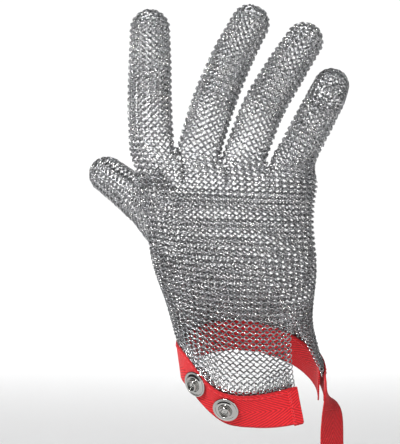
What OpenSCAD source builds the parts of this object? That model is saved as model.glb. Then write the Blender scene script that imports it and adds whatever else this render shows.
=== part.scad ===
// Ring mesh safety glove, right hand, empty and holding its worn shape.
// Frame: origin at the centre of the wrist opening, +Z to the fingertips,
// -Y out of the back of the hand, +X to the little finger side. Millimetres.

/* [Hand] */
// Wall of the ring mesh, as worn
mesh_wall = 1.6; // [1.4:0.1:1.8]
// Half width of the hand at mid palm
palm_half_w = 44.6; // [43:0.2:46]
// Half thickness of the hand at mid palm
palm_half_t = 22; // [21:0.5:23]

/* [Fingers] */
// Wall of the finger mesh
finger_wall = 1.2; // [1:0.1:1.4]
// Running gap between one finger piece and the next
joint_gap = 0.4; // [0.35:0.05:0.5]
// Reach of the skirt inside the next piece, as a share of its radius
skirt = 0.64; // [0.5:0.02:0.7]

/* [Wrist band] */
// Width of the woven tape
tape_w = 20; // [19:0.5:21]
// Thickness of the woven tape
tape_t = 0.9; // [0.7:0.1:1.0]
// Where the band ends on the back of the hand, degrees round the wrist
band_end = 50; // [46:1:54]

/* [Snaps] */
// Outside diameter of the stud flange
flange_d = 14.4; // [13.6:0.2:14.8]
// Outside diameter of the stud's knob
knob_d = 6.5; // [6.2:0.1:6.8]
// Height of the knob above the flange
knob_h = 2.2; // [2:0.1:2.6]
// Hole down the middle of the stud
stud_hole_d = 5; // [4.6:0.1:5.2]
// Where the stud on the back sits, degrees round the wrist
back_stud_at = 107; // [103:1:110]
// Where the stud on the thumb side sits, degrees round the wrist
side_stud_at = 135; // [132:1:138]

/* [Strap] */
// Length of each of the three inner strap pieces
strap_seg = 20; // [18:0.5:21]
// Length of the folded end piece
strap_tip = 30; // [28:0.5:32]

/* [Hidden] */
eps = 0.01;
steel = [0.72, 0.73, 0.75];
red = [0.85, 0.06, 0.09];
bright = [0.85, 0.86, 0.88];

function sm(t) = let (c = min(1, max(0, t))) c * c * (3 - 2 * c);
function unit(v) = v / norm(v);

// --- wrist opening: an ellipse in a tilted plane -------------------------
hem_a = 40;
hem_b = 31.8;
hem_tilt = 39;
hem_roll = 10.4;
hu = [cos(hem_roll), 0, -sin(hem_roll)];
hv = [sin(hem_roll) * sin(hem_tilt), cos(hem_tilt), cos(hem_roll) * sin(hem_tilt)];
// the edge rises out of that plane at the slit and on the thumb side
function lift(p) = 6.1 * sm(p / 50) * (1 - sm((p - 50) / 60)) + 8 * sm((p - 108) / 40) * (1 - sm((p - 148) / 50));
// the way the tape runs down from the hem, round the wrist
function lean(p) = 7.7 + 20 * sm((p - 50) / 45) * (1 - sm((p - 110) / 45)) + 24.3 * (p < 60 ? 1 - sm(p / 45) : sm((p - 155) / 60));
function taper(p) = p < 50 ? 11.5 * sm(p / 50) : p <= 180 ? 11.5 - 3.5 * sm((p - 50) / 130) : 8 * (1 - sm((p - 180) / 180));
function down(p) = [sin(taper(p)) * cos(lean(p)), sin(lean(p)), -cos(taper(p)) * cos(lean(p))];
function cuff(p, s, off) = (hem_a + off) * cos(p) * hu - (hem_b + off) * sin(p) * hv + [0, 0, lift(p)] + s * down(p);
function cuff_n(p, s) = unit(cross(cuff(p + 1, s, 0) - cuff(p - 1, s, 0), down(p)));

// --- hand sections above the hem: z, centre x, half width, half depth, tilt, roll
rows_h = [
  [24, -5.8, 39.6, 26.8, 26, 7],
  [50, -9, palm_half_w, palm_half_t + 0.8, 14, 3],
  [76, -11.6, palm_half_w + 1, palm_half_t - 1.4, 5, 1.5],
  [95, -13, 49, 17.6, 1, 3],
  [109.6, -13.6, 52.4, 14.2, 0, 4]
];
function sec(r, p, off) = let (a = r[2] + off, b = r[3] + off,
    u = [cos(r[5]), 0, -sin(r[5])],
    v = [sin(r[5]) * sin(r[4]), cos(r[4]), cos(r[5]) * sin(r[4])])
  [r[1], 0, r[0]] + a * cos(p) * u - b * sin(p) * v;
function mix_row(a, b, t) = [for (i = [0:5]) a[i] * (1 - t) + b[i] * t];
hem_row = [0, 0, hem_a, hem_b, hem_tilt, hem_roll];
all_h = concat([hem_row], rows_h);
// smooth interpolation between the sections (Catmull-Rom on each value)
function cr(a, b, c, d, t) = 0.5 * (2 * b + (c - a) * t + (2 * a - 5 * b + 4 * c - d) * t * t + (3 * b - 3 * c + d - a) * t * t * t);
function row_at(k, t) = let (n = len(all_h) - 1,
    a = all_h[max(0, k - 1)], b = all_h[k], c = all_h[min(n, k + 1)], d = all_h[min(n, k + 2)])
  [for (i = [0:5]) cr(a[i], b[i], c[i], d[i], t)];
steps_h = 3;
rows_all = [for (k = [0:len(all_h) - 2]) for (j = [0:steps_h - 1]) row_at(k, j / steps_h), all_h[len(all_h) - 1]];

pn = 60;
module loft(rings) {
  n = len(rings);
  m = len(rings[0]);
  pts = [for (r = rings) for (q = r) q];
  sides = [for (i = [0:n - 2]) for (j = [0:m - 1]) let (a = i * m + j, b = i * m + (j + 1) % m,
      c = (i + 1) * m + (j + 1) % m, d = (i + 1) * m + j) each [[a, b, c], [a, c, d]]];
  c0 = [for (i = [0:2]) [for (q = rings[0]) q[i]] * [for (q = rings[0]) 1] / m];
  c1 = [for (i = [0:2]) [for (q = rings[n - 1]) q[i]] * [for (q = rings[0]) 1] / m];
  caps = [for (j = [0:m - 1]) each [[(j + 1) % m, j, n * m], [(n - 1) * m + j, (n - 1) * m + (j + 1) % m, n * m + 1]]];
  polyhedron(concat(pts, [c0, c1]), concat(sides, caps), convexity = 6);
}
// body of the hand, off = change of the surface, low = how far below the hem,
// high = what is left out at the top
module palm_body(off, low, high) {
  top = len(rows_all) - 1 - high;
  loft(concat([[for (j = [0:pn - 1]) cuff(j * 360 / pn, low, off)]],
    [for (i = [0:top]) [for (j = [0:pn - 1])
      sec(rows_all[i], j * 360 / pn, off) + [0, 0, lift(j * 360 / pn) * pow(max(0, 1 - i / steps_h), 2)]]]));
}

// --- fingers --------------------------------------------------------------
// joint centres and the end ball centre
index_p = [[-53.5, 0, 112], [-54.8, -1, 138], [-54.5, -1, 158.5], [-54.5, 0, 177.5]];
middle_p = [[-28.1, 0, 112], [-19.9, -1, 139.3], [-9.8, -1, 163.2], [-0.6, 0, 180.4]];
ring_p = [[-3.2, 0, 109.6], [6.2, -1, 135], [18, -1, 154.6], [28.6, 0, 171]];
little_p = [[23.2, 0, 106.9], [34, 0, 128], [41, 3, 141], [44, 11, 147.5]];
thumb_p = [[-58, 22, 84], [-68.9, 32.2, 92.1], [-79.4, 42, 99.9]];
// joint ball radii, then the end ball radius
index_r = [11.7, 11.1, 10.5, 11.2];
middle_r = [11.5, 11, 10.4, 11];
ring_r = [11.3, 10.8, 10.2, 10.8];
little_r = [10.5, 9.9, 9.3, 9.8];
thumb_r = [10.9, 9.8, 10.2];
rim = finger_wall + joint_gap;
flex_way = [0, 1, 0];
thumb_way = [0.797, 0.498, 0.341];

// place a child frame: z along d, y as near to w as it can be
module aim(o, d, w) {
  z = unit(d);
  y = unit(w - (w * z) * z);
  x = cross(y, z);
  // rigid turn written as three rotations
  ry = asin(max(-1, min(1, -x[2])));
  rx = atan2(y[2], z[2]);
  rz = atan2(x[1], x[0]);
  translate(o) rotate([rx, ry, rz]) children();
}
// one finger piece from joint ball r0 up to where the next ball r1 sits
module piece(l, r0, r1) {
  rc = r1 + rim;
  w = finger_wall;
  difference() {
    union() {
      sphere(r0, $fn = 64);
      cylinder(r1 = r0, r2 = rc, h = l, $fn = 64);
    }
    sphere(r0 - w, $fn = 64);
    translate([0, 0, -eps]) cylinder(r1 = r0 - w, r2 = rc - w, h = l + 2 * eps, $fn = 64);
    // open lower end
    translate([-20, -20, -skirt * r0 - 20]) cube([40, 40, 20]);
    // cut back on the palm side, where the next piece bends in
    translate([-20, 0, l - r1 - 0.8]) cube([40, 40, r1 + 20]);
  }
}
module tip_piece(l, r0, r1) {
  w = finger_wall;
  difference() {
    union() {
      sphere(r0, $fn = 64);
      cylinder(r1 = r0, r2 = r1, h = l, $fn = 64);
      translate([0, 0, l]) sphere(r1, $fn = 64);
    }
    sphere(r0 - w, $fn = 64);
    translate([0, 0, -eps]) cylinder(r1 = r0 - w, r2 = r1 - w, h = l + 2 * eps, $fn = 64);
    translate([0, 0, l]) sphere(r1 - w, $fn = 64);
    translate([-20, -20, -skirt * r0 - 20]) cube([40, 40, 20]);
  }
}
module finger_piece(p, r, k, w) {
  d = p[k + 1] - p[k];
  aim(p[k], d, w) {
    if (k == len(p) - 2) tip_piece(norm(d), r[k], r[k + 1]);
    else piece(norm(d), r[k], r[k + 1]);
  }
}
// room for a finger's first ball and for its swing
module seat(p, r, w) {
  d = p[1] - p[0];
  g = joint_gap;
  aim(p[0], d, w) {
    sphere(r[0] + g, $fn = 48);
    cylinder(r1 = r[0] + g, r2 = r[0] + g + 0.8, h = 20, $fn = 48);
    if (w != flex_way) translate([-r[0] - 1, 0, -r[0] - 0.8]) cube([2 * r[0] + 2, 30, r[0] + 30]);
  }
}
// the palm side is cut back below all four fingers, where they bend in
module flex_room() rotate([90, 0, 0]) translate([0, 0, -60]) linear_extrude(60)
  polygon([[-75, 99], [60, 93.6], [60, 140], [-75, 140]]);
module thumb_web(off) {
  hull() {
    translate([-41.5, 7, 55]) sphere(12 + off, $fn = 28);
    translate([-50.5, 4, 96]) sphere(12 + off, $fn = 28);
    translate(thumb_p[0]) sphere(12.9 + off, $fn = 28);
  }
}

module hand_mesh() color(steel)
  difference() {
    union() {
      palm_body(0, 16, 0);
      thumb_web(0);
    }
    palm_body(-mesh_wall, 17, 2);
    thumb_web(-mesh_wall);
    seat(index_p, index_r, flex_way);
    seat(middle_p, middle_r, flex_way);
    seat(ring_p, ring_r, flex_way);
    seat(little_p, little_r, flex_way);
    seat(thumb_p, thumb_r, thumb_way);
    flex_room();
    // slit on the little finger side
    rotate([90, 0, 0]) translate([0, 0, -1]) linear_extrude(70)
      polygon([[28.5, 24], [26, -45], [80, -45], [80, -8], [40.6, -8]]);
    shank_holes();
  }

module index_base() color(steel) finger_piece(index_p, index_r, 0, flex_way);
module index_middle() color(steel) finger_piece(index_p, index_r, 1, flex_way);
module index_tip() color(steel) finger_piece(index_p, index_r, 2, flex_way);
module middle_base() color(steel) finger_piece(middle_p, middle_r, 0, flex_way);
module middle_middle() color(steel) finger_piece(middle_p, middle_r, 1, flex_way);
module middle_tip() color(steel) finger_piece(middle_p, middle_r, 2, flex_way);
module ring_base() color(steel) finger_piece(ring_p, ring_r, 0, flex_way);
module ring_middle() color(steel) finger_piece(ring_p, ring_r, 1, flex_way);
module ring_tip() color(steel) finger_piece(ring_p, ring_r, 2, flex_way);
module little_base() color(steel) finger_piece(little_p, little_r, 0, flex_way);
module little_middle() color(steel) finger_piece(little_p, little_r, 1, flex_way);
module little_tip() color(steel) finger_piece(little_p, little_r, 2, flex_way);
module thumb_base() color(steel) finger_piece(thumb_p, thumb_r, 0, thumb_way);
module thumb_tip() color(steel) finger_piece(thumb_p, thumb_r, 1, thumb_way);

// --- wrist band: two layers of tape with the mesh between them -------------
sew = 0.3;
module tape_arc(p0, p1, s0, s1, o0, o1, n) {
  // closed strip: for each step the four corners of its section
  rings = [for (i = [0:n]) let (p = p0 + (p1 - p0) * i / n)
    [cuff(p, s0, o0), cuff(p, s0, o1), cuff(p, s1, o1), cuff(p, s1, o0)]];
  loft(rings);
}
module band_outer() color(red) difference() {
  tape_arc(band_end, 360, 0, tape_w, sew, sew + tape_t, 56);
  shank_holes();
}
module band_inner() color(red) difference() {
  tape_arc(band_end, 360, 0, tape_w, -mesh_wall - sew - 0.15 - tape_t, -mesh_wall - sew - 0.15, 56);
  shank_holes();
}
// the tape's end turned back on itself and stitched
module band_end_fold() color(red)
  tape_arc(band_end, band_end + 8, 0.4, tape_w - 0.4, sew + tape_t + 0.05, sew + 2 * tape_t - 0.05, 4);

// --- snaps ------------------------------------------------------------------
band_o = sew + tape_t;
module on_band(p, s, o) {
  nv = cuff_n(p, s);
  c = cuff(p, s, 0) + nv * o;
  translate(c) rotate([0, acos(nv[2]), atan2(nv[1], nv[0])]) children();
}
// outer half of a stud: domed flange with a raised hollow knob
module stud() {
  fr = flange_d / 2;
  kr = knob_d / 2;
  hr = stud_hole_d / 2;
  rotate_extrude($fn = 72)
    polygon([[hr, 0.1], [fr - 0.5, 0.1], [fr, 0.4], [fr - 0.2, 0.9], [kr + 1.6, 1.7], [kr, 1.7],
      [kr, 1.3 + knob_h], [kr - 0.3, 1.6 + knob_h], [hr, 1.6 + knob_h]]);
}
stud_in = mesh_wall + sew + tape_t + 1.0;
module stud_post() {
  hr = stud_hole_d / 2;
  rotate_extrude($fn = 60)
    polygon([[hr - 0.4, -stud_in - 1.2], [flange_d / 2 - 0.7, -stud_in - 1.2], [flange_d / 2 - 0.5, -stud_in - 0.9],
      [flange_d / 2 - 0.7, -stud_in - 0.4], [hr - 0.06, -stud_in - 0.4], [hr - 0.06, 4.3], [hr - 0.4, 4.3]]);
}
// the hole each shank takes through mesh and tape
module shank_holes() for (p = [back_stud_at, side_stud_at]) on_band(p, tape_w / 2, 0)
  translate([0, 0, -6]) cylinder(r = stud_hole_d / 2 + 0.2, h = 12, $fn = 32);
module back_stud() color(bright) on_band(back_stud_at, tape_w / 2, band_o + 0.15) stud();
module back_stud_post() color(bright) on_band(back_stud_at, tape_w / 2, band_o - tape_t - sew) stud_post();
module side_stud() color(bright) on_band(side_stud_at, tape_w / 2, band_o + 0.5) stud();
module side_stud_post() color(bright) on_band(side_stud_at, tape_w / 2, band_o - tape_t - sew) stud_post();

// --- strap, hanging from the band's end on the little finger side ----------
strap_o = [43.8, 1.5, -13];
strap_turn = 229.5;
strap_t = 1.2;
// strap frame: x across the tape, y towards the outside, z up
module strap_at(l) translate(strap_o) rotate([0, 0, strap_turn]) translate([0, 0, -l]) children();
module strap_plate(l, top, bottom) translate([-tape_w / 2, -strap_t / 2, -l + bottom]) cube([tape_w, strap_t, l - top - bottom]);
module strap_root() color(red) strap_at(0) strap_plate(strap_seg, 0.25, 0.25);
module strap_upper() color(red) strap_at(strap_seg) strap_plate(strap_seg, 0.25, 0.25);
module strap_lower() color(red) strap_at(2 * strap_seg) strap_plate(strap_seg, 0.25, 0.25);
snap_at = 13;
module strap_end() color(red) strap_at(3 * strap_seg) difference() {
  strap_plate(strap_tip, 0.25, 0);
  translate([0, 0, -snap_at]) rotate([90, 0, 0]) cylinder(r = 2.3, h = 6, center = true, $fn = 40);
}
module strap_end_fold() color(red) strap_at(3 * strap_seg)
  translate([-tape_w / 2 + 0.3, strap_t / 2 + 0.05, -strap_tip + 0.2]) cube([tape_w - 0.6, strap_t - 0.3, 7]);
// cap outside, socket inside, both on one axis through the tape
module on_strap() strap_at(3 * strap_seg) translate([0, 0, -snap_at]) rotate([-90, 0, 0]) children();
socket_r = knob_d / 2 + 0.15;
module snap_cap() color(bright) on_strap() difference() {
  translate([0, 0, strap_t / 2 + 0.1]) rotate_extrude($fn = 72)
    polygon([[0, 0], [flange_d / 2 + 0.2, 0], [flange_d / 2 + 0.5, 0.5], [flange_d / 2 + 0.2, 1], [flange_d / 2 - 1.2, 1.7], [flange_d / 4, 2.2], [0, 2.3]]);
  translate([0, 0, -1]) cylinder(r = 2, h = 2.2, $fn = 36);
}
module snap_socket() color(bright) on_strap() rotate_extrude($fn = 72)
  polygon([[0, 1.1], [1.9, 1.1], [1.9, -0.75], [6.1, -0.75], [6.4, -1.05], [6.1, -1.45], [socket_r + 1.7, -1.6],
    [socket_r + 1.5, -4], [socket_r + 1.2, -4.3], [socket_r, -4.3], [socket_r, -3.3], [socket_r + 0.5, -3.3],
    [socket_r + 0.5, -2.7], [socket_r, -2.7], [socket_r, -1.4], [0, -1.4]]);
module socket_spring() color(bright) on_strap() translate([0, 0, -3]) rotate_extrude($fn = 60)
  translate([socket_r + 0.23, 0]) circle(0.2, $fn = 16);

hand_mesh();
index_base();
index_middle();
index_tip();
middle_base();
middle_middle();
middle_tip();
ring_base();
ring_middle();
ring_tip();
little_base();
little_middle();
little_tip();
thumb_base();
thumb_tip();
band_outer();
band_inner();
band_end_fold();
back_stud();
back_stud_post();
side_stud();
side_stud_post();
strap_root();
strap_upper();
strap_lower();
strap_end();
strap_end_fold();
snap_cap();
snap_socket();
socket_spring();
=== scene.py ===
import math

import bpy
import numpy as np
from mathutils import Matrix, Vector


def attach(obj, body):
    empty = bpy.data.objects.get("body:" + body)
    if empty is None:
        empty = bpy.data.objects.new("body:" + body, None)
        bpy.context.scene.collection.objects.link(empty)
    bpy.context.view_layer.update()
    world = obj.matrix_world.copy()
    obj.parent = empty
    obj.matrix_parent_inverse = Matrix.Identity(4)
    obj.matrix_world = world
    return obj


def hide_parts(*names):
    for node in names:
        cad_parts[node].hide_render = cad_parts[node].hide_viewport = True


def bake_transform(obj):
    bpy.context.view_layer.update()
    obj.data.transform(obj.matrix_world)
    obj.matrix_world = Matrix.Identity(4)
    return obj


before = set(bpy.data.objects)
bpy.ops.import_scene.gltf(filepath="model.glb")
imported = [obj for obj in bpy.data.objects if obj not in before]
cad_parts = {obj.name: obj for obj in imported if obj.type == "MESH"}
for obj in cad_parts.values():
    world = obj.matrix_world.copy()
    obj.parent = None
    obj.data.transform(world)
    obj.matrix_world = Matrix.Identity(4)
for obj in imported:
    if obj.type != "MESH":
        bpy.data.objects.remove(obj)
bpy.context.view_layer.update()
RNG = np.random.default_rng(11)
MM = 0.001
WORLD, KEY, FILL, WALL = 0.06, 30.0, 2.5, 42.0


def C(d):
    return math.cos(math.radians(d))


def S(d):
    return math.sin(math.radians(d))


def unit(v):
    v = np.asarray(v, float)
    return v / np.linalg.norm(v, axis=-1, keepdims=True)


def smooth(t):
    t = np.clip(t, 0.0, 1.0)
    return t * t * (3 - 2 * t)


# ---------------------------------------------------------------- the worn shape
# the same sections as the design: z, centre x, half width, half depth, tilt, roll
HEM_A, HEM_B, HEM_TILT, HEM_ROLL = 40.0, 31.8, 39.0, 10.4
HU = np.array([C(HEM_ROLL), 0, -S(HEM_ROLL)])
HV = np.array([S(HEM_ROLL) * S(HEM_TILT), C(HEM_TILT), C(HEM_ROLL) * S(HEM_TILT)])
ROWS = np.array([
    [0, 0, HEM_A, HEM_B, HEM_TILT, HEM_ROLL],
    [24, -5.8, 39.6, 26.8, 26, 7],
    [50, -9, 44.6, 22.8, 14, 3],
    [76, -11.6, 45.6, 20.6, 5, 1.5],
    [95, -13, 49, 17.6, 1, 3],
    [109.6, -13.6, 52.4, 14.2, 0, 4],
], float)
TAPE_W = 20.0
INSET = 1.3          # the middle of the ring layer lies this far inside the outer surface


def lift(p):
    """The edge rises out of its plane at the slit and on the thumb side."""
    p = np.asarray(p, float)
    return 6.1 * smooth(p / 50) * (1 - smooth((p - 50) / 60)) + 8 * smooth((p - 108) / 40) * (1 - smooth((p - 148) / 50))


def lean(p):
    p = np.asarray(p, float)
    return 7.7 + 20 * smooth((p - 50) / 45) * (1 - smooth((p - 110) / 45)) + 24.3 * np.where(p < 60, 1 - smooth(p / 45), smooth((p - 155) / 60))


def taper(p):
    p = np.asarray(p, float)
    return np.where(p < 50, 11.5 * smooth(p / 50), np.where(p <= 180, 11.5 - 3.5 * smooth((p - 50) / 130), 8 * (1 - smooth((p - 180) / 180))))


def down(p):
    t, l = np.radians(taper(p)), np.radians(lean(p))
    return np.stack([np.sin(t) * np.cos(l), np.sin(l), -np.cos(t) * np.cos(l)], -1)


def cuff(p, s, off):
    p = np.asarray(p, float)
    r = np.radians(p)
    return ((HEM_A + off) * np.cos(r))[..., None] * HU - ((HEM_B + off) * np.sin(r))[..., None] * HV + lift(p)[..., None] * np.array([0, 0, 1.0]) + np.asarray(s, float)[..., None] * down(p)


def row_at(v):
    """Section values at a real row number, smooth through the given rows; straight on above the last."""
    v = np.asarray(v, float)
    n = len(ROWS) - 1
    k = np.clip(np.floor(v).astype(int), 0, n - 1)
    t = np.clip(v - k, 0, 1)[..., None]
    a, b, c, d = ROWS[np.maximum(k - 1, 0)], ROWS[k], ROWS[k + 1], ROWS[np.minimum(k + 2, n)]
    return 0.5 * (2 * b + (c - a) * t + (2 * a - 5 * b + 4 * c - d) * t * t + (3 * b - 3 * c + d - a) * t ** 3)


def section(v, phi, off):
    r = row_at(v)
    a, b = r[..., 2] + off, r[..., 3] + off
    tl, rl, ph = np.radians(r[..., 4]), np.radians(r[..., 5]), np.radians(phi)
    u = np.stack([np.cos(rl), 0 * rl, -np.sin(rl)], -1)
    w = np.stack([np.sin(rl) * np.sin(tl), np.cos(tl), np.cos(rl) * np.sin(tl)], -1)
    rise = lift(np.mod(phi, 360)) * np.clip(1 - np.asarray(v, float), 0, 1) ** 2
    o = np.stack([r[..., 1] + 0 * rise, 0 * rise, r[..., 0] + rise], -1)
    return o + (a * np.cos(ph))[..., None] * u - (b * np.sin(ph))[..., None] * w


# rows of rings: equal steps up the middle of the back of the hand
N_PALM = 80
_v = np.linspace(0, len(ROWS) - 1, 600)
_f = section(_v, np.full_like(_v, 95.0), -INSET)
_len = np.concatenate([[0], np.cumsum(np.linalg.norm(np.diff(_f, axis=0), axis=1))])
ROW_B = _len[-1] / N_PALM


def v_of_row(i):
    return np.interp(np.asarray(i, float) * ROW_B, _len, _v)


# equal steps round each section: angle as a function of the column, 0..54,
# 0 on the thumb side, 27 on the little finger side, going over the back of the hand
COLS = 54
C_SLIT = 21.75
SLIT_ROWS = 27.0
_arc_i = np.arange(0, N_PALM + 1)
_arc_phi = np.linspace(180, -180, 721)
_arc = []
for _i in _arc_i:
    q = section(np.full(721, float(v_of_row(_i))), _arc_phi, -INSET)
    _arc.append(np.concatenate([[0], np.cumsum(np.linalg.norm(np.diff(q, axis=0), axis=1))]))
_arc = np.array(_arc)
PHI_APEX = float(np.interp(C_SLIT / COLS, _arc[int(SLIT_ROWS)] / _arc[int(SLIT_ROWS)][-1], _arc_phi))


def _phi_row(k, c):
    """Angle at whole row k for columns c."""
    arc = _arc[k]
    if k >= SLIT_ROWS:
        return np.interp(c / COLS, arc / arc[-1], _arc_phi)
    t = k / SLIT_ROWS
    pd = 50 + (PHI_APEX - 50) * t
    pp = 2 + (PHI_APEX - 2) * t ** 1.15
    ad = np.interp(-pd, -_arc_phi, arc)
    ap = np.interp(-pp, -_arc_phi, arc)
    target = np.where(c <= C_SLIT, c / C_SLIT * ad, ap + (c - C_SLIT) / (COLS - C_SLIT) * (arc[-1] - ap))
    return np.interp(target, arc, _arc_phi)


def palm_phi(i, c):
    i, c = np.broadcast_arrays(np.asarray(i, float), np.asarray(c, float))
    i = np.clip(i, 0, N_PALM)
    k0 = np.clip(np.floor(i).astype(int), 0, N_PALM - 1)
    out = np.zeros(i.shape)
    for k in np.unique(k0):
        m = k0 == k
        a, b = _phi_row(k, c[m]), _phi_row(k + 1, c[m])
        out[m] = a + (b - a) * (i[m] - k)
    return out


def palm_pos(i, c):
    """Point on the hand at row i and column c."""
    i, c = np.broadcast_arrays(np.asarray(i, float), np.mod(np.asarray(c, float), COLS))
    phi = palm_phi(i, c)
    off = -INSET + 0.5 * (1 - smooth(i / 5.0))
    p = section(v_of_row(np.clip(i, 0, N_PALM)), phi, off)
    over = np.maximum(i - N_PALM, 0) * ROW_B
    p = p + over[..., None] * np.array([0.0, 0, 1.0])
    under = np.maximum(-i, 0) * 1.6
    return p + under[..., None] * down(np.where(phi < 0, phi + 360, phi))


# ---------------------------------------------------------------- fingers
FINGERS = {
    "index": dict(p=[[-53.5, 0, 112], [-54.8, -1, 138], [-54.5, -1, 158.5], [-54.5, 0, 177.5]], r=[11.3, 11.2, 10.8, 10.0], n=18, way=(0, 1, 0), first=170.0),
    "middle": dict(p=[[-28.1, 0, 112], [-19.9, -1, 139.3], [-9.8, -1, 163.2], [-0.6, 0, 180.4]], r=[11.1, 11.1, 10.6, 9.8], n=18, way=(0, 1, 0), first=90.0),
    "ring": dict(p=[[-3.2, 0, 109.6], [6.2, -1, 135], [18, -1, 154.6], [28.6, 0, 171]], r=[10.9, 10.9, 10.5, 9.6], n=18, way=(0, 1, 0), first=90.0),
    "little": dict(p=[[23.2, 0, 106.9], [34, 0, 128], [41, 3, 141], [44, 11, 147.5]], r=[10.1, 9.9, 9.5, 8.8], n=16, way=(0, 1, 0), first=11.25),
    "thumb": dict(p=[[-58, 22, 84], [-68.9, 32.2, 92.1], [-79.4, 42, 99.9]], r=[11.3, 9.9, 9.2], n=16, way=(0.797, 0.498, 0.341), first=90.0),
}
FB = 1.68
for name, f in FINGERS.items():
    P = np.array(f["p"], float)
    seg = np.linalg.norm(np.diff(P, axis=0), axis=1)
    f["joints"] = np.concatenate([[0], np.cumsum(seg)])
    f["L"] = f["joints"][-1]
    d0, d1 = unit(P[1] - P[0]), unit(P[-1] - P[-2])
    # a smooth centre line through the joints, straight on at both ends
    ts = np.linspace(-30, f["L"] + 20, 400)
    Q = np.vstack([P[0] - d0 * 30, P, P[-1] + d1 * 20])
    tt = np.concatenate([[-30], f["joints"], [f["L"] + 20]])
    line = np.stack([np.interp(ts, tt, Q[:, k]) for k in range(3)], -1)
    kern = np.exp(-0.5 * (np.arange(-40, 41) / 14.0) ** 2)
    kern /= kern.sum()
    pad = np.vstack([line[:1] + (line[0] - line[1]) * np.arange(40, 0, -1)[:, None], line, line[-1:] + (line[-1] - line[-2]) * np.arange(1, 41)[:, None]])
    line = np.stack([np.convolve(pad[:, k], kern, "valid") for k in range(3)], -1)
    f["ts"], f["line"] = ts, line
    f["tan"] = unit(np.gradient(line, axis=0))
    f["rad"] = (tt[1:-1], np.array(f["r"], float))


def finger_frame(name, t):
    f = FINGERS[name]
    t = np.asarray(t, float)
    c = np.stack([np.interp(t, f["ts"], f["line"][:, k]) for k in range(3)], -1)
    d = unit(np.stack([np.interp(t, f["ts"], f["tan"][:, k]) for k in range(3)], -1))
    w = np.array(f["way"], float)
    y = unit(w - (d @ w)[..., None] * d)
    x = np.cross(y, d)
    return c, x, y, d


def finger_pos(name, t, psi):
    """Point on a finger's ring layer: t along it from the knuckle in mm, psi 180 left, 90 back of hand, 0 right."""
    f = FINGERS[name]
    t, psi = np.broadcast_arrays(np.asarray(t, float), np.asarray(psi, float))
    r = np.interp(t, *f["rad"])
    beyond = t - f["L"]
    rt = f["r"][-1]
    a = np.clip(beyond / rt, 0, math.pi / 2)
    tc = np.minimum(t, f["L"])
    c, x, y, d = finger_frame(name, tc)
    r = np.where(beyond > 0, rt * np.cos(a), r)
    up = np.where(beyond > 0, rt * np.sin(a), 0.0)
    ps = np.radians(psi)
    return c + (r * np.cos(ps))[..., None] * x - (r * np.sin(ps))[..., None] * y + up[..., None] * d


# which columns of the hand each finger carries on
SPANS = {  # name: list of (first column, last column, column in the middle, angle there)
    "index": [(-7.5, 7.5, 0.0, 180.0)],
    "middle": [(7.5, 13.5, 10.5, 90.0), (40.5, 46.5, 43.5, -90.0)],
    "ring": [(13.5, 19.5, 16.5, 90.0), (34.5, 40.5, 37.5, -90.0)],
    "little": [(19.5, 34.5, 27.0, 0.0)],
}


def blend_w(name, i):
    lo, hi = {"index": (73, 86), "middle": (73, 85), "ring": (72, 85), "little": (70, 86)}[name]
    return smooth((np.asarray(i, float) - lo) / (hi - lo))


def outer_col(name, psi):
    """Column of the hand under an angle on a finger, or nan where the angle faces the next finger."""
    n = FINGERS[name]["n"]
    step = 360.0 / n
    psi = np.asarray(psi, float)
    col = np.full(psi.shape, np.nan)
    for a, b, mid, ang in SPANS[name]:
        d = np.mod(ang - psi + 180, 360) - 180
        c = mid + d / step
        ok = (c >= a - 1e-6) & (c <= b + 1e-6)
        col = np.where(ok, c, col)
    return col


def joined_pos(name, i, psi, col=None):
    i, psi = np.broadcast_arrays(np.asarray(i, float), np.asarray(psi, float))
    q = finger_pos(name, (i - N_PALM) * FB, psi)
    if name == "thumb":
        return q
    c = outer_col(name, psi) if col is None else col
    ok = ~np.isnan(c)
    p = palm_pos(i, np.where(ok, c, 0.0))
    w = np.where(ok, blend_w(name, i), 1.0)
    return p * (1 - w)[..., None] + q * w[..., None]


# ---------------------------------------------------------------- rings
RM, RW = 1.71, 0.32     # ring: mean radius and half the wire
NA, NB = 14, 6


class Rings:
    """Collected rings: centre, row direction, column direction, parity, tag."""

    def __init__(self):
        self.c, self.t, self.u, self.par, self.tag = [], [], [], [], []

    def add(self, c, t, u, par, tag):
        n = len(c)
        if not n:
            return
        self.c.append(c)
        self.t.append(t)
        self.u.append(u)
        self.par.append(np.broadcast_to(par, (n,)))
        self.tag.append(np.array([tag] * n, dtype=object) if isinstance(tag, str) else tag)

    def done(self):
        self.c, self.t, self.u = np.concatenate(self.c), np.concatenate(self.t), np.concatenate(self.u)
        self.par, self.tag = np.concatenate(self.par), np.concatenate(self.tag)
        return self


R = Rings()
H = 0.25
# the hand below the fingers
SPLIT = {7.5: 79, 46.5: 79, 13.5: 78, 40.5: 78, 19.5: 76, 34.5: 76}
for i in range(-2, N_PALM + 12):
    even = i % 2 == 0
    cols = np.arange(COLS) + (0.5 if even else 0.0)
    if i >= 70:
        continue
    c = palm_pos(i, cols)
    t = (palm_pos(i, cols + H) - palm_pos(i, cols - H)) / (2 * H)
    u = (palm_pos(i + H, cols) - palm_pos(i - H, cols)) / (2 * H)
    # beside the slit, look only to the ring's own side
    if i < SLIT_ROWS:
        near = np.abs(cols - C_SLIT) < 1.0
        left = cols < C_SLIT
        t2 = np.where(left[:, None], c - palm_pos(i, cols - 0.6), palm_pos(i, cols + 0.6) - c) / 0.6
        t = np.where(near[:, None], t2, t)
        u2 = (palm_pos(i + H, cols) - palm_pos(i - H, cols)) / (2 * H)
        u = np.where(near[:, None], u2, u)
    tag = "palm_" + "abcde"[min(int(i) // 18, 4)]
    R.add(c, t, u, 1 if even else -1, tag)

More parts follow.
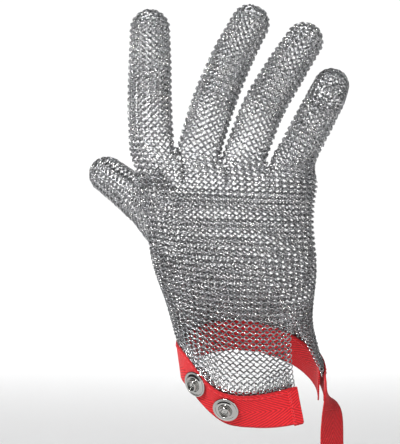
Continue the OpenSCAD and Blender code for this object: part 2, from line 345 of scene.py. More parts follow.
for name in ("index", "middle", "ring", "little"):
    f = FINGERS[name]
    step = 360.0 / f["n"]
    J = f["joints"]
    inner_from = {"index": 78, "middle": 77, "ring": 76, "little": 74}[name]
    i = 70
    while True:
        tt = (i - N_PALM) * FB
        if tt > f["L"] + 0.4:
            break
        even = i % 2 == 0
        psi = f["first"] - np.arange(f["n"]) * step - (0 if even else step / 2)
        col = outer_col(name, psi)
        keep = ~np.isnan(col) | (i >= inner_from)
        # a ring on the line between two fingers is one ring until they part
        for edge, row in SPLIT.items():
            on = np.abs(np.mod(np.nan_to_num(col, nan=-99.0), COLS) - edge) < 0.01
            mine = {"index": (7.5,), "middle": (46.5, 13.5), "ring": (40.5, 19.5), "little": (34.5,)}[name]
            if i < row and edge not in mine:
                keep &= ~on
        psi = psi[keep]
        c = joined_pos(name, i, psi)
        t = (joined_pos(name, i, psi - 4) - joined_pos(name, i, psi + 4)) * (step / 8)
        u = (joined_pos(name, i + H, psi) - joined_pos(name, i - H, psi)) / (2 * H)
        if tt < -9:
            tag = "palm_e"
        else:
            mids = [(J[k] + J[k + 1]) / 2 for k in range(len(J) - 2)]
            k = int(np.searchsorted(mids, tt))
            tag = f"{name}_{k}"
            if k == len(J) - 2 and tt > J[-2] + 7:
                tag = f"{name}_tip"
        R.add(c, t, u, 1 if even else -1, tag)
        i += 1
    # the rounded end: fewer rings in each row
    last = (i - 1 - N_PALM) * FB
    rt = f["r"][-1]
    n_prev, k = f["n"], 1
    while True:
        tt = last + k * 1.62
        a = (tt - f["L"]) / rt
        if a > 1.30:
            break
        circ = 2 * math.pi * rt * math.cos(a)
        n = max(3, int(round(circ / 3.75)))
        even = (i + k - 1) % 2 == 0
        psi = f["first"] - (np.arange(n) + (0 if even else 0.5)) * 360.0 / n
        c = finger_pos(name, tt, psi)
        dp = 40.0 / n
        t = (finger_pos(name, tt, psi - dp) - finger_pos(name, tt, psi + dp)) * ((360.0 / n) / (2 * dp))
        u = (finger_pos(name, tt + 0.4, psi) - finger_pos(name, tt - 0.4, psi)) / 0.8 * FB
        R.add(c, t, u, 1 if even else -1, f"{name}_tip")
        k += 1
    cc, x, y, d = finger_frame(name, f["L"])
    R.add((cc + d * rt)[None], (x * 3.8)[None], (y * 1.6)[None], 1, f"{name}_tip")

# the thumb: a web that comes out of the hand, then a tube
TH = FINGERS["thumb"]
WEB_O, WEB_G, WEB_H = np.array([-45.0, 4.5, 75.0]), np.array([-4.5, -1.5, 20.5]), 12.0
WEB_G = unit(WEB_G) * 31.0
WEB_N = 13


def web_pos(s, psi):
    """s 0 inside the hand, 1 at the thumb's first joint; psi as on the thumb."""
    s, psi = np.broadcast_arrays(np.asarray(s, float), np.asarray(psi, float))
    c1, x1, y1, d1 = finger_frame("thumb", 0.0)
    axis = unit(np.array([-0.62, 0.66, 0.25]))
    g = unit(WEB_G - (WEB_G @ d1) * d1)
    h = np.cross(g, d1)
    g0 = WEB_G
    h0 = np.cross(unit(WEB_G), axis)
    h0 = unit(h0) * WEB_H
    r1 = TH["r"][0]
    e = s
    o = WEB_O * (1 - e)[..., None] + c1 * e[..., None]
    A = g0 * (1 - e)[..., None] + (g * r1) * e[..., None]
    B = h0 * (1 - e)[..., None] + (h * r1) * e[..., None]
    # angle measured from the same place as on the thumb tube
    ax, ay = float(x1 @ g), float(x1 @ h)
    bx, by = float(-y1 @ g), float(-y1 @ h)
    ps = np.radians(psi)
    ca = np.cos(ps) * ax + np.sin(ps) * bx
    sa = np.cos(ps) * ay + np.sin(ps) * by
    return o + ca[..., None] * A + sa[..., None] * B


def thumb_any(t, psi):
    t = np.asarray(t, float)
    w = web_pos(np.clip(1 + t / 22.0, -0.5, 1.0), psi)
    q = finger_pos("thumb", np.maximum(t, 0), psi)
    k = (t >= 0) * 1.0
    return w * (1 - k)[..., None] + q * k[..., None]


def perimeter(t):
    a = np.linspace(0, 360, 73)
    q = thumb_any(np.full(73, float(t)), a)
    return float(np.linalg.norm(np.diff(q, axis=0), axis=1).sum())


def inside_palm(p, slack):
    """Whether a point is inside the hand's ring layer."""
    z = p[:, 2]
    v = np.interp(z, ROWS[:, 0], np.arange(len(ROWS)))
    r = row_at(v)
    a, b = r[:, 2] - INSET, r[:, 3] - INSET
    q = ((p[:, 0] - r[:, 1]) / (a - slack)) ** 2 + (p[:, 1] / (b - slack)) ** 2
    return (q < 1) & (z < 112)


i = -14
tt = i * FB
J = TH["joints"]
while tt <= TH["L"] + 0.4:
    even = i % 2 == 0
    n = 2 * int(round(perimeter(tt) / 7.7))
    n = max(n, 16) if tt < 2 else 16 if tt < 8 else 15
    psi = 200.0 - (np.arange(n) + (0 if even else 0.5)) * 360.0 / n
    c = thumb_any(np.full(n, tt), psi)
    t = (thumb_any(np.full(n, tt), psi - 4) - thumb_any(np.full(n, tt), psi + 4)) * (360.0 / n / 8)
    u = (thumb_any(np.full(n, tt + 0.5), psi) - thumb_any(np.full(n, tt - 0.5), psi)) * FB
    if tt < -6:
        tag = "web"
    elif tt < J[1] / 2:
        tag = "thumb_0"
    elif tt < J[1] + 7:
        tag = "thumb_1"
    else:
        tag = "thumb_tip"
    keep = ~inside_palm(c, 1.2) if tt < 0 else np.ones(n, bool)
    R.add(c[keep], t[keep], u[keep], 1 if even else -1, tag)
    i += 1
    tt = i * FB
last = (i - 1) * FB
rt = TH["r"][-1]
k = 1
while True:
    tt = last + k * 1.62
    a = (tt - TH["L"]) / rt
    if a > 1.30:
        break
    n = max(3, int(round(2 * math.pi * rt * math.cos(a) / 3.75)))
    even = (i + k - 1) % 2 == 0
    psi = 200.0 - (np.arange(n) + (0 if even else 0.5)) * 360.0 / n
    dp = 40.0 / n
    c = finger_pos("thumb", tt, psi)
    t = (finger_pos("thumb", tt, psi - dp) - finger_pos("thumb", tt, psi + dp)) * ((360.0 / n) / (2 * dp))
    u = (finger_pos("thumb", tt + 0.4, psi) - finger_pos("thumb", tt - 0.4, psi)) / 0.8 * FB
    R.add(c, t, u, 1 if even else -1, "thumb_tip")
    k += 1
cc, x, y, d = finger_frame("thumb", TH["L"])
R.add((cc + d * rt)[None], (x * 3.8)[None], (y * 1.6)[None], 1, "thumb_tip")
R.done()

# rings of the hand that would lie inside the thumb's web are left out
web_line = [web_pos(np.full(1, s), np.zeros(1)) for s in (0, 1)]


def inside_web(p, slack):
    out = np.zeros(len(p), bool)
    a = np.linspace(0, 360, 25)[:-1]
    for s in np.linspace(0.12, 1.0, 12):
        ring = web_pos(np.full(24, s), a)
        o = ring.mean(0)
        g = (ring[0] - ring[12]) / 2
        h = (ring[6] - ring[18]) / 2
        nrm = unit(np.cross(g, h))
        q = p - o
        M = np.linalg.inv(np.column_stack([g, h, nrm]))
        l = q @ M.T
        out |= (l[:, 0] ** 2 + l[:, 1] ** 2 < (1 - slack) ** 2) & (np.abs(q @ nrm) < 1.4)
    return out


on_hand = np.array([str(tg).startswith("palm") for tg in R.tag])
drop = np.zeros(len(R.c), bool)
drop[on_hand] = inside_web(R.c[on_hand], 0.06)
keep = ~drop
R.c, R.t, R.u, R.par, R.tag = R.c[keep], R.t[keep], R.u[keep], R.par[keep], R.tag[keep]

R.bias = np.array([1.0 if str(tg).startswith("palm") else 0.0 for tg in R.tag])
_p = np.degrees(np.arctan2(-(R.c @ HV) / HEM_B, (R.c @ HU) / HEM_A)) % 360
_hem_h = (R.c - lift(_p)[:, None] * np.array([0, 0, 1.0])) @ np.cross(HU, HV)
R.hem = np.where(R.bias > 0, 1 - smooth(_hem_h / 8.0), 0.0)

# ring axes
a_loc = np.linalg.norm(R.t, axis=1)
T = unit(R.t)
Ug = R.u - (np.sum(R.u * T, 1))[:, None] * T
b_loc = np.linalg.norm(Ug, axis=1)
U = Ug / b_loc[:, None]
N = np.cross(T, U)
lean_ring = np.radians(np.clip(np.interp(b_loc, [1.0, 1.5, 1.7, 2.1, 2.4], [48, 44, 40, 27, 18]), 15, 50))
lean_ring = lean_ring + np.radians(RNG.normal(0, 1.8, len(a_loc)))
spin = np.radians(RNG.normal(0, 1.8, len(a_loc)))
T2 = T * np.cos(spin)[:, None] + N * np.sin(spin)[:, None]
N2 = N * np.cos(spin)[:, None] - T * np.sin(spin)[:, None]
lean_ring = lean_ring - np.radians(4.0) * R.par * R.bias
lean_ring = lean_ring * (1 - 0.45 * R.hem) * np.where(R.bias > 0, 1.0, 0.68)
E2 = U * np.cos(lean_ring)[:, None] + N2 * (np.sin(lean_ring) * R.par)[:, None]
AX = np.cross(T2, E2)
scale = np.clip(a_loc / 4.0, 0.9, 1.02)
pos = R.c + RNG.normal(0, 0.05, R.c.shape)

al = np.linspace(0, 2 * math.pi, NA, endpoint=False)
be = np.linspace(0, 2 * math.pi, NB, endpoint=False)


def ring_mesh(name, idx):
    n = len(idx)
    rr = (RM * scale[idx])[:, None, None] + RW * np.cos(be)[None, None, :]
    rr = np.broadcast_to(rr, (n, NA, NB))
    ca, sa = np.cos(al)[None, :, None], np.sin(al)[None, :, None]
    co = (pos[idx][:, None, None, :]
          + (rr * ca)[..., None] * T2[idx][:, None, None, :]
          + (rr * sa)[..., None] * E2[idx][:, None, None, :]
          + np.broadcast_to(RW * np.sin(be)[None, None, :], (n, NA, NB))[..., None] * AX[idx][:, None, None, :])
    co = co.reshape(-1, 3) * MM
    q = np.arange(NA * NB).reshape(NA, NB)
    quad = np.stack([q, np.roll(q, -1, 0), np.roll(np.roll(q, -1, 0), -1, 1), np.roll(q, -1, 1)], -1).reshape(-1, 4)
    faces = (quad[None] + (np.arange(n) * NA * NB)[:, None, None]).reshape(-1, 4)
    me = bpy.data.meshes.new(name)
    me.vertices.add(len(co))
    me.vertices.foreach_set("co", co.astype(np.float32).ravel())
    me.loops.add(faces.size)
    me.loops.foreach_set("vertex_index", faces.astype(np.int32).ravel())
    me.polygons.add(len(faces))
    me.polygons.foreach_set("loop_start", np.arange(0, faces.size, 4, dtype=np.int32))
    me.polygons.foreach_set("loop_total", np.full(len(faces), 4, np.int32))
    me.polygons.foreach_set("use_smooth", np.ones(len(faces), bool))
    mat = np.repeat(RNG.integers(0, len(STEELS), n), len(quad)).astype(np.int32)
    for m in STEELS:
        me.materials.append(m)
    me.polygons.foreach_set("material_index", mat)
    me.update()
    me.validate()
    ob = bpy.data.objects.new(name, me)
    bpy.context.scene.collection.objects.link(ob)
    return ob


# ---------------------------------------------------------------- materials
def principled(name, color, metallic=0.0, rough=0.5, **more):
    m = bpy.data.materials.new(name)
    m.use_nodes = True
    b = m.node_tree.nodes["Principled BSDF"]
    b.inputs["Base Color"].default_value = (*color, 1)
    b.inputs["Metallic"].default_value = metallic
    b.inputs["Roughness"].default_value = rough
    for k, v in more.items():
        b.inputs[k].default_value = v
    return m


STEELS = [
    principled("steel_a", (0.45, 0.45, 0.46), 1.0, 0.21),
    principled("steel_b", (0.38, 0.39, 0.40), 1.0, 0.25),
    principled("steel_c", (0.54, 0.54, 0.54), 1.0, 0.18),
    principled("steel_d", (0.32, 0.32, 0.33), 1.0, 0.28),
]

groups = {}
for k, tg in enumerate(R.tag):
    groups.setdefault(tg, []).append(k)
objs = {tg: ring_mesh("rings_" + tg, np.array(ix)) for tg, ix in groups.items()}
print("rings", len(R.c), {k: len(v) for k, v in groups.items()})

for tg in ("palm_a", "palm_b", "palm_c", "palm_d", "palm_e", "web"):
    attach(objs[tg], "hand")
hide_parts("hand_mesh")


BODIES = {n: [n + "_base", n + "_middle", n + "_tip"] for n in ("index", "middle", "ring", "little")}
BODIES["thumb"] = ["thumb_base", "thumb_tip"]
for name, chain in BODIES.items():
    f = FINGERS[name]
    P = np.array(f["p"], float)
    for k, body in enumerate(chain):
        ob = objs[f"{name}_{k}"]
        d = unit(P[k + 1] - P[k])
        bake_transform(ob)
        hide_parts(body)
    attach(objs[f"{name}_tip"], chain[-1])

# ---------------------------------------------------------------- tape
def nodes_of(m):
    nt = m.node_tree
    return nt, nt.nodes, nt.links, nt.nodes["Principled BSDF"]


def math_node(nt, op, a, b=None, clamp=False):
    n = nt.nodes.new("ShaderNodeMath")
    n.operation = op
    n.use_clamp = clamp
    for k, x in enumerate((a, b)):
        if x is None:
            continue
        if hasattr(x, "is_output"):
            nt.links.new(x, n.inputs[k])
        else:
            n.inputs[k].default_value = x
    return n.outputs[0]


def tape_material(name, deep, light):
    """Herringbone twill: slanted cords that meet in a chevron along the tape's middle."""
    m = principled(name, light, 0.0, 0.72)
    nt, nodes, links, b = nodes_of(m)
    at = nodes.new("ShaderNodeAttribute")
    at.attribute_name = "tape_co"
    sp = nodes.new("ShaderNodeSeparateXYZ")
    links.new(at.outputs["Vector"], sp.inputs[0])
    u, v = sp.outputs[0], sp.outputs[1]
    av = math_node(nt, "ABSOLUTE", v)
    noise = nodes.new("ShaderNodeTexNoise")
    noise.inputs["Scale"].default_value = 900.0
    noise.inputs["Detail"].default_value = 3.0
    geo = nodes.new("ShaderNodeTexCoord")
    links.new(geo.outputs["Object"], noise.inputs["Vector"])
    wob = math_node(nt, "MULTIPLY", math_node(nt, "SUBTRACT", noise.outputs[0], 0.5), 0.5)
    ph = math_node(nt, "ADD", math_node(nt, "MULTIPLY", u, C(62) / 1.30), math_node(nt, "MULTIPLY", av, S(62) / 1.30))
    ph = math_node(nt, "ADD", ph, wob)
    ridge = math_node(nt, "ADD", math_node(nt, "MULTIPLY", math_node(nt, "SINE", math_node(nt, "MULTIPLY", ph, 2 * math.pi)), 0.5), 0.5)
    ph2 = math_node(nt, "SUBTRACT", math_node(nt, "MULTIPLY", u, S(62) / 0.62), math_node(nt, "MULTIPLY", av, C(62) / 0.62))
    thread = math_node(nt, "ADD", math_node(nt, "MULTIPLY", math_node(nt, "SINE", math_node(nt, "MULTIPLY", ph2, 2 * math.pi)), 0.5), 0.5)
    # the selvedge and the middle, where the slant turns
    edge = math_node(nt, "GREATER_THAN", av, 9.2)
    body = math_node(nt, "SUBTRACT", 1.0, math_node(nt, "MULTIPLY", edge, 0.7))
    h = math_node(nt, "MULTIPLY", math_node(nt, "ADD", math_node(nt, "MULTIPLY", ridge, 0.78), math_node(nt, "MULTIPLY", thread, 0.22)), body)
    h = math_node(nt, "ADD", h, math_node(nt, "MULTIPLY", wob, 0.25))
    mix = nodes.new("ShaderNodeMix")
    mix.data_type = "RGBA"
    links.new(math_node(nt, "ADD", math_node(nt, "MULTIPLY", h, 0.95), 0.1, True), mix.inputs[0])
    mix.inputs[6].default_value = (*deep, 1)
    mix.inputs[7].default_value = (*light, 1)
    links.new(mix.outputs[2], b.inputs["Base Color"])
    bump = nodes.new("ShaderNodeBump")
    bump.inputs["Strength"].default_value = 0.9
    bump.inputs["Distance"].default_value = 0.00022
    links.new(h, bump.inputs["Height"])
    links.new(bump.outputs[0], b.inputs["Normal"])
    b.inputs["Sheen Weight"].default_value = 0.25
    b.inputs["Sheen Roughness"].default_value = 0.4
    b.inputs["Sheen Tint"].default_value = (1.0, 0.35, 0.35, 1)
    b.inputs["Specular IOR Level"].default_value = 0.3
    return m


TAPE = tape_material("tape_red", (0.26, 0.003, 0.006), (0.80, 0.018, 0.026))
THREAD = principled("thread_red", (0.62, 0.012, 0.02), 0.0, 0.6)
THREAD.node_tree.nodes["Principled BSDF"].inputs["Sheen Weight"].default_value = 0.3


def make_mesh(name, verts, faces, mat, co=None, smooth_shade=True):
    me = bpy.data.meshes.new(name)
    me.from_pydata([tuple(x) for x in np.asarray(verts, float) * MM], [], faces)
    if co is not None:
        at = me.attributes.new("tape_co", "FLOAT_VECTOR", "POINT")
        at.data.foreach_set("vector", np.asarray(co, np.float32).ravel())
    for p in me.polygons:
        p.use_smooth = smooth_shade
    me.materials.append(mat)
    me.update()
    ob = bpy.data.objects.new(name, me)
    bpy.context.scene.collection.objects.link(ob)
    return ob


def section_loop(width, thick, n=18):
    """Outline of the tape's section, counter-clockwise seen along it: (v, h), v across, h through."""
    e = thick / 2
    top = [(v, e) for v in np.linspace(-width / 2 + e, width / 2 - e, n)]
    right = [(width / 2 - e + e * math.sin(a), e * math.cos(a)) for a in (math.pi / 4, math.pi / 2, 3 * math.pi / 4)]
    bottom = [(v, -e) for v in np.linspace(width / 2 - e, -width / 2 + e, n)]
    left = [(-width / 2 + e - e * math.sin(a), e * math.cos(a)) for a in (3 * math.pi / 4, math.pi / 2, math.pi / 4)]
    return np.array(top + right + bottom + left)


def ribbon(name, P, Wd, Nn, width, thick, mat, u0=0.0, wave=0.0):
    """A tape swept along P, with its width along Wd and its face towards Nn."""
    P, Wd, Nn = (np.asarray(x, float) for x in (P, Wd, Nn))
    loop = section_loop(width, thick)
    m, n = len(loop), len(P)
    u = u0 + np.concatenate([[0], np.cumsum(np.linalg.norm(np.diff(P, axis=0), axis=1))])
    lift = wave * (np.sin(u[:, None] * 0.31 + loop[None, :, 0] * 0.17) + 0.6 * np.sin(u[:, None] * 0.83 - loop[None, :, 0] * 0.41 + 1.3))
    V = P[:, None, :] + loop[None, :, 0, None] * Wd[:, None, :] + (loop[None, :, 1] + lift)[..., None] * Nn[:, None, :]
    co = np.stack([np.broadcast_to(u[:, None], (n, m)), np.broadcast_to(loop[None, :, 0], (n, m)), np.broadcast_to(loop[None, :, 1], (n, m))], -1)
    V, co = V.reshape(-1, 3), co.reshape(-1, 3)
    faces = []
    flip = np.dot(np.cross(P[1] - P[0], Wd[0]), Nn[0]) > 0
    for i in range(n - 1):
        for j in range(m):
            q = (i * m + j, i * m + (j + 1) % m, (i + 1) * m + (j + 1) % m, (i + 1) * m + j)
            faces.append(q if flip else q[::-1])
    first, last = list(range(m)), list(range((n - 1) * m, n * m))
    faces.append(first[::-1] if flip else first)
    faces.append(last if flip else last[::-1])
    ob = make_mesh(name, V, faces, mat, co)
    for p in list(ob.data.polygons)[-2:]:
        p.use_smooth = False
    return ob, float(u[-1] - u0)


def capsule_mesh(paths, rad, name, mat, sides=8):
    """Short threads: each path is a few points, drawn as a round tube with closed, rounded ends."""
    verts, faces = [], []
    for pts in paths:
        pts = np.asarray(pts, float)
        d = unit(np.gradient(pts, axis=0))
        ref = np.array([0.31, 0.83, 0.46])
        x = unit(np.cross(d, ref))
        y = np.cross(d, x)
        k = len(pts)
        sc = np.ones(k)
        sc[0] = sc[-1] = 0.45
        base = len(verts)
        for i in range(k):
            for a in range(sides):
                t = 2 * math.pi * a / sides
                verts.append(pts[i] + rad * sc[i] * (math.cos(t) * x[i] + math.sin(t) * y[i]))
        for i in range(k - 1):
            for a in range(sides):
                b2 = (a + 1) % sides
                faces.append((base + i * sides + a, base + i * sides + b2, base + (i + 1) * sides + b2, base + (i + 1) * sides + a))
        faces.append(tuple(base + a for a in range(sides))[::-1])
        faces.append(tuple(base + (k - 1) * sides + a for a in range(sides)))
    return make_mesh(name, verts, faces, mat)


def cuff_n(p, s):
    p = np.asarray(p, float)
    return unit(np.cross(cuff(p + 1, s, 0) - cuff(p - 1, s, 0), down(p)))


BAND_END, SEW, TAPE_T, WALL_T = 50.0, 0.3, 0.9, 1.6
# outer tape: from the strap side round to its end, over itself, and a little way back
ps = np.concatenate([np.linspace(360, BAND_END, 150)])
P = cuff(ps, np.full(len(ps), TAPE_W / 2), SEW + TAPE_T / 2)
Wd = down(ps)
Nn = np.array([cuff_n(p, TAPE_W / 2) for p in ps])
tdir = unit(P[-1] - P[-2])
nend, wend = Nn[-1], Wd[-1]
turn = np.radians(np.linspace(12, 168, 9))
rt_ = 0.47
cen = P[-1] + nend * rt_
TP = np.array([cen - nend * rt_ * math.cos(a) + tdir * rt_ * math.sin(a) for a in turn])
TN = np.array([nend * math.cos(a) - tdir * math.sin(a) for a in turn])
pb = np.linspace(BAND_END, BAND_END + 7.6, 8)
BP = cuff(pb, np.full(len(pb), TAPE_W / 2), SEW + TAPE_T / 2 + 2 * rt_)
BN = -np.array([cuff_n(p, TAPE_W / 2) for p in pb])
P = np.vstack([P, TP, BP])
Nn = np.vstack([Nn, TN, BN])
Wd = np.vstack([Wd, np.repeat(wend[None], len(turn), 0), down(pb)])
band_o, len_o = ribbon("tape_band_outer", P, Wd, Nn, TAPE_W, TAPE_T - 0.04, TAPE, wave=0.05)
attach(band_o, "hand")
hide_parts("band_outer", "band_end_fold")
ps = np.linspace(360, BAND_END + 0.6, 150)
band_i, len_i = ribbon("tape_band_inner", cuff(ps, np.full(len(ps), TAPE_W / 2), -WALL_T - SEW - 0.15 - TAPE_T / 2), down(ps), -np.array([cuff_n(p, TAPE_W / 2) for p in ps]), TAPE_W, TAPE_T - 0.04, TAPE, wave=0.05)
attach(band_i, "hand")
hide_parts("band_inner")


def on_cuff(p, s, o):
    return cuff(np.array([float(p)]), np.array([float(s)]), o)[0]


# stitching: a line across the turned-back end and a row along the tape's top edge, both faces
paths = []
for s0 in np.arange(1.4, 18.4, 2.35):
    a, b2 = on_cuff(BAND_END + 6.3, s0, 2.12), on_cuff(BAND_END + 6.3, s0 + 1.75, 2.12)
    n = cuff_n(BAND_END + 6.3, s0)
    paths.append([a - n * 0.25, a + (b2 - a) * 0.12 + n * 0.12, (a + b2) / 2 + n * 0.2, b2 - (b2 - a) * 0.12 + n * 0.12, b2 - n * 0.25])
for off, sg in ((SEW + TAPE_T + 0.02, 1), (-WALL_T - SEW - 0.15 - TAPE_T - 0.02, -1)):
    p = 359.0
    while p > BAND_END + (11 if sg > 0 else 3):
        q = p - 3.4
        a, b2 = on_cuff(p, 1.9, off), on_cuff(q, 1.9, off)
        n = cuff_n(p, 1.9) * sg
        paths.append([a - n * 0.2, a + (b2 - a) * 0.12 + n * 0.1, (a + b2) / 2 + n * 0.17, b2 - (b2 - a) * 0.12 + n * 0.1, b2 - n * 0.2])
        p -= 4.6
stitches = capsule_mesh(paths, 0.2, "band_stitches", THREAD)
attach(stitches, "hand")

# ---------------------------------------------------------------- strap
XS = np.array([C(229.5), S(229.5), 0.0])
YS = np.array([-S(229.5), C(229.5), 0.0])
H0 = np.array([43.8, 1.5, -13.0])
c0 = on_cuff(360, TAPE_W / 2, SEW + TAPE_T / 2)
n0, w0 = cuff_n(360, TAPE_W / 2), down(360)
t0 = unit(np.cross(w0, n0))
if t0[2] > 0:
    t0 = -t0
c1 = np.array([43.8, 1.5, -42.0])


def strap_frame(z):
    """Straight part of the strap at height z: centre, width, face."""
    return np.array([43.8, 1.5, z]), -XS, YS


# the tape turns from edge-on at the band to its own flat further down
hs = np.linspace(0, 1, 60)
cc, ww = [], []
for k in hs:
    h00, h10, h01, h11 = 2 * k ** 3 - 3 * k * k + 1, k ** 3 - 2 * k * k + k, -2 * k ** 3 + 3 * k * k, k ** 3 - k * k
    cc.append(h00 * c0 + h10 * t0 * 10 + h01 * c1 + h11 * np.array([0, 0, -1.0]) * 30 + np.array([1.5, -0.5, 0]) * math.sin(math.pi * k) ** 2)
    e = 1 - (1 - k) ** 1.5
    ww.append(unit(w0 * (1 - e) + (-XS) * e))
cc, ww = np.array(cc), np.array(ww)
tt_ = unit(np.gradient(cc, axis=0))
tt_[-1] = (0, 0, -1)
nn = unit(np.cross(ww, tt_))
nn = np.where((nn @ n0)[:, None] < 0, -nn, nn)
ww2 = unit(np.cross(tt_, nn))
ww = np.where(np.sum(ww2 * ww, 1)[:, None] < 0, -ww2, ww2)


def straight(z0, z1, n):
    zs = np.linspace(z0, z1, n)
    return np.array([[43.8, 1.5, z] for z in zs]), np.repeat(-XS[None], n, 0), np.repeat(YS[None], n, 0)


STRAP_T = 1.0
g = (c1 - c0) - ((c1 - c0) @ w0) * w0
g = unit(g)
pos_u = 0.0
flat_ = straight(-42.0, -80.0, 77)
line_c = np.vstack([cc, flat_[0][1:]])
line_w = np.vstack([ww, flat_[1][1:]])
line_n = np.vstack([nn, flat_[2][1:]])
line_n[len(cc):] = np.where((line_n[len(cc):] @ nn[-1])[:, None] < 0, -line_n[len(cc):], line_n[len(cc):])


def cut(z0, z1):
    """The strap between two heights; neighbours share the section they are cut at."""
    zc = line_c[:, 2]
    i0 = 0 if z0 is None else int(np.argmin(np.abs(zc - z0)))
    i1 = int(np.argmin(np.abs(zc - z1)))
    return line_c[i0:i1 + 1], line_w[i0:i1 + 1], line_n[i0:i1 + 1]


def at_z(z):
    return line_c[int(np.argmin(np.abs(line_c[:, 2] - z)))]


segs = [
    ("tape_strap_top", cut(None, -28.0), "hand", "strap_root", c0 + g * 0.4, c0 + g * 8.0, ["strap_root"]),
    ("tape_strap_a", cut(-28.0, -43.0), "strap_root", "strap_upper", at_z(-29.5), at_z(-36.5), ["strap_upper"]),
    ("tape_strap_b", cut(-43.0, -63.0), "strap_upper", "strap_lower", at_z(-49.0), at_z(-57.0), ["strap_lower"]),
    ("tape_strap_c", cut(-63.0, -80.0), "strap_lower", "strap_end", at_z(-69.0), at_z(-77.0), []),
]
strap_len = {}
for name, (PP, WW, NN), a, b2, st, en, reps in segs:
    ob, L = ribbon(name, PP, WW, NN, TAPE_W, STRAP_T, TAPE, u0=pos_u)
    pos_u += L
    strap_len[name] = L
    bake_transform(ob)
    if reps:
        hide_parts(*reps)
# the last stretch, turned back on its outer face and sewn
z_end = -103.0
Pz, Wz, Nz = straight(-80.0, z_end + 0.5, 46)
cen = Pz[-1] + YS * 0.53
TP = np.array([cen - YS * 0.53 * math.cos(a) - np.array([0, 0, 1.0]) * 0.53 * math.sin(a) for a in turn])
TN = np.array([YS * math.cos(a) + np.array([0, 0, 1.0]) * math.sin(a) for a in turn])
zb = np.linspace(z_end + 0.5, z_end + 7.0, 14)
BP = np.array([[43.8, 1.5, z] for z in zb]) + YS * 1.06
end_ob, L_end = ribbon("tape_strap_end", np.vstack([Pz, TP, BP]), np.repeat(-XS[None], len(Pz) + len(TP) + len(BP), 0), np.vstack([Nz, TN, np.repeat(-YS[None], len(BP), 0)]), TAPE_W, STRAP_T, TAPE, u0=pos_u)
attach(end_ob, "strap_end")
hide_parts("strap_end", "strap_end_fold")
paths = []
for x in np.arange(-8.6, 8.0, 2.4):
    for face, off in ((YS, 1.06 + STRAP_T / 2 + 0.02), (-YS, STRAP_T / 2 + 0.02)):
        o = np.array([43.8, 1.5, z_end + 5.6]) + face * off
        a, b2 = o + XS * x, o + XS * (x + 1.75)
        paths.append([a - face * 0.2, a + (b2 - a) * 0.12 + face * 0.1, (a + b2) / 2 + face * 0.17, b2 - (b2 - a) * 0.12 + face * 0.1, b2 - face * 0.2])
st2 = capsule_mesh(paths, 0.2, "strap_stitches", THREAD)
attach(st2, "strap_end")
print("tape lengths mm", round(len_o, 1), round(len_i, 1), {k: round(v, 1) for k, v in strap_len.items()}, round(L_end, 1))

# ---------------------------------------------------------------- snaps: the design's own pieces, plated


def plated(name, color, rough):
    m = principled(name, color, 1.0, rough)
    nt, nodes, links, b = nodes_of(m)
    geo = nodes.new("ShaderNodeTexCoord")
    nz = nodes.new("ShaderNodeTexNoise")
    nz.inputs["Scale"].default_value = 420.0
    nz.inputs["Detail"].default_value = 4.0
    links.new(geo.outputs["Object"], nz.inputs["Vector"])
    mr = nodes.new("ShaderNodeMapRange")
    mr.inputs["To Min"].default_value = rough * 0.7
    mr.inputs["To Max"].default_value = rough * 1.6
    links.new(nz.outputs[0], mr.inputs["Value"])
    links.new(mr.outputs[0], b.inputs["Roughness"])
    bump = nodes.new("ShaderNodeBump")
    bump.inputs["Strength"].default_value = 0.12
    bump.inputs["Distance"].default_value = 0.00006
    links.new(nz.outputs[0], bump.inputs["Height"])
    links.new(bump.outputs[0], b.inputs["Normal"])
    return m


NICKEL = plated("snap_nickel", (0.42, 0.415, 0.40), 0.10)
SPRING = plated("spring_steel", (0.40, 0.40, 0.41), 0.25)
for n in ("back_stud_post", "side_stud_post", "snap_cap", "snap_socket", "socket_spring"):
    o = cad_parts[n]
    o.data.materials.clear()
    o.data.materials.append(SPRING if n == "socket_spring" else NICKEL)


def lathe(profiles, origin, axis, name, mat, seg=64):
    """Turned piece: each profile is a closed loop of (radius, height) along the axis."""
    z = unit(axis)
    x = unit(np.cross(z, (0.2, 0.1, 1.0)))
    y = np.cross(z, x)
    verts, faces = [], []
    for prof in profiles:
        base = len(verts)
        m = len(prof)
        for k in range(seg):
            t = 2 * math.pi * k / seg
            for r, h in prof:
                verts.append(np.asarray(origin) + r * (math.cos(t) * x + math.sin(t) * y) + h * z)
        for k in range(seg):
            k2 = (k + 1) % seg
            for j in range(m):
                j2 = (j + 1) % m
                if prof[j][0] < 1e-6 and prof[j2][0] < 1e-6:
                    continue
                if prof[j][0] < 1e-6:
                    faces.append((base + j, base + k2 * m + j2, base + k * m + j2))
                elif prof[j2][0] < 1e-6:
                    faces.append((base + k * m + j, base + k2 * m + j, base + j2))
                else:
                    faces.append((base + k * m + j, base + k2 * m + j, base + k2 * m + j2, base + k * m + j2))
    ob = make_mesh(name, verts, faces, mat)
    import bmesh
    bm = bmesh.new()
    bm.from_mesh(ob.data)
    loose = [v for v in bm.verts if not v.link_faces]
    bmesh.ops.delete(bm, geom=loose, context="VERTS")
    bmesh.ops.recalc_face_normals(bm, faces=bm.faces)
    bm.to_mesh(ob.data)
    bm.free()
    for q in ob.data.polygons:
        q.use_smooth = True
    return ob


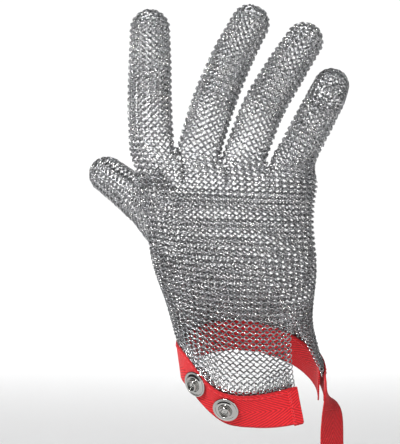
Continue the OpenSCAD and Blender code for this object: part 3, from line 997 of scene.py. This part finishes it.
FLANGE = [(2.5, 0.1), (6.6, 0.1), (7.0, 0.18), (7.18, 0.42), (7.14, 0.72), (6.92, 0.95), (6.6, 1.03), (6.3, 0.96), (6.08, 0.8), (5.9, 0.76), (5.7, 0.86), (5.4, 1.14),
          (5.05, 1.44), (4.7, 1.64), (4.35, 1.72), (4.0, 1.66), (3.72, 1.5), (3.48, 1.34), (3.3, 1.3), (3.25, 1.42), (3.25, 1.6), (3.25, 2.4), (3.25, 3.2), (3.22, 3.45),
          (3.1, 3.66), (2.9, 3.78), (2.7, 3.74), (2.56, 3.56), (2.5, 3.3), (2.5, 2.0)]
RIVET = [(0.0, 1.72), (0.5, 1.66), (1.0, 1.6), (1.45, 1.72), (1.8, 2.0), (2.0, 2.36), (2.06, 2.3), (2.06, 1.3), (0.0, 1.2)]
for nm, at_p, gap in (("back_stud", 107.0, 0.15), ("side_stud", 135.0, 0.5)):
    n = cuff_n(at_p, TAPE_W / 2)
    o = on_cuff(at_p, TAPE_W / 2, 0) + n * (SEW + TAPE_T + gap)
    ob = lathe([FLANGE, RIVET], o, n, nm + "_turned", NICKEL)
    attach(ob, "hand")
    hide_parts(nm)

# ---------------------------------------------------------------- camera, light, floor
PX = 0.54
cam = bpy.data.objects.new("camera", bpy.data.cameras.new("camera"))
bpy.context.scene.collection.objects.link(cam)
cam.location = ((200 - 251) * PX * MM, -1.2, (358 - 222) * PX * MM)
cam.rotation_euler = (math.radians(90), 0, 0)
cam.data.sensor_width = 36
cam.data.lens = 36 * 1.2 / (444 * PX * MM)
cam.data.clip_start = 0.05
bpy.context.scene.camera = cam

# one pale sweep: floor that turns up into a wall behind
ZF = -0.125
prof = [(-4.0, ZF)] + [(2.9 + 0.6 * math.sin(math.radians(k)), ZF + 0.6 - 0.6 * math.cos(math.radians(k))) for k in range(0, 91, 6)] + [(3.5, 4.0)]
sv = [(x, y, z) for y, z in prof for x in (-4.0, 4.0)]
sf = [(2 * k, 2 * k + 1, 2 * k + 3, 2 * k + 2) for k in range(len(prof) - 1)]
sweep_me = bpy.data.meshes.new("sweep")
sweep_me.from_pydata(sv, [], sf)
for p in sweep_me.polygons:
    p.use_smooth = True
sweep = bpy.data.objects.new("sweep", sweep_me)
sweep_me.materials.append(principled("sweep_pale", (0.84, 0.84, 0.84), 0.0, 0.8))
bpy.context.scene.collection.objects.link(sweep)

world = bpy.data.worlds.new("studio")
bpy.context.scene.world = world
world.use_nodes = True
world.node_tree.nodes["Background"].inputs[0].default_value = (0.95, 0.97, 1.0, 1)
world.node_tree.nodes["Background"].inputs[1].default_value = WORLD


def area(name, loc, target, size, power, color=(1, 1, 1)):
    l = bpy.data.lights.new(name, "AREA")
    l.shape = "RECTANGLE"
    l.size, l.size_y = size
    l.energy = power
    l.color = color
    o = bpy.data.objects.new(name, l)
    o.location = loc
    o.rotation_euler = (Vector(target) - Vector(loc)).to_track_quat("-Z", "Y").to_euler()
    bpy.context.scene.collection.objects.link(o)
    return o


area("key", (-0.55, -0.95, 0.95), (-0.01, 0, 0.07), (0.26, 0.26), KEY)
area("fill", (0.95, -0.8, 0.2), (-0.01, 0, 0.07), (0.3, 0.6), FILL)
area("wall", (0.0, 2.1, 1.9), (0.0, 3.4, 0.3), (3.0, 0.4), WALL)
area("floor", (0.0, 1.9, 1.5), (0.0, 2.0, -0.1), (3.0, 1.2), 16.0)
bpy.context.scene.view_settings.view_transform = "Standard"
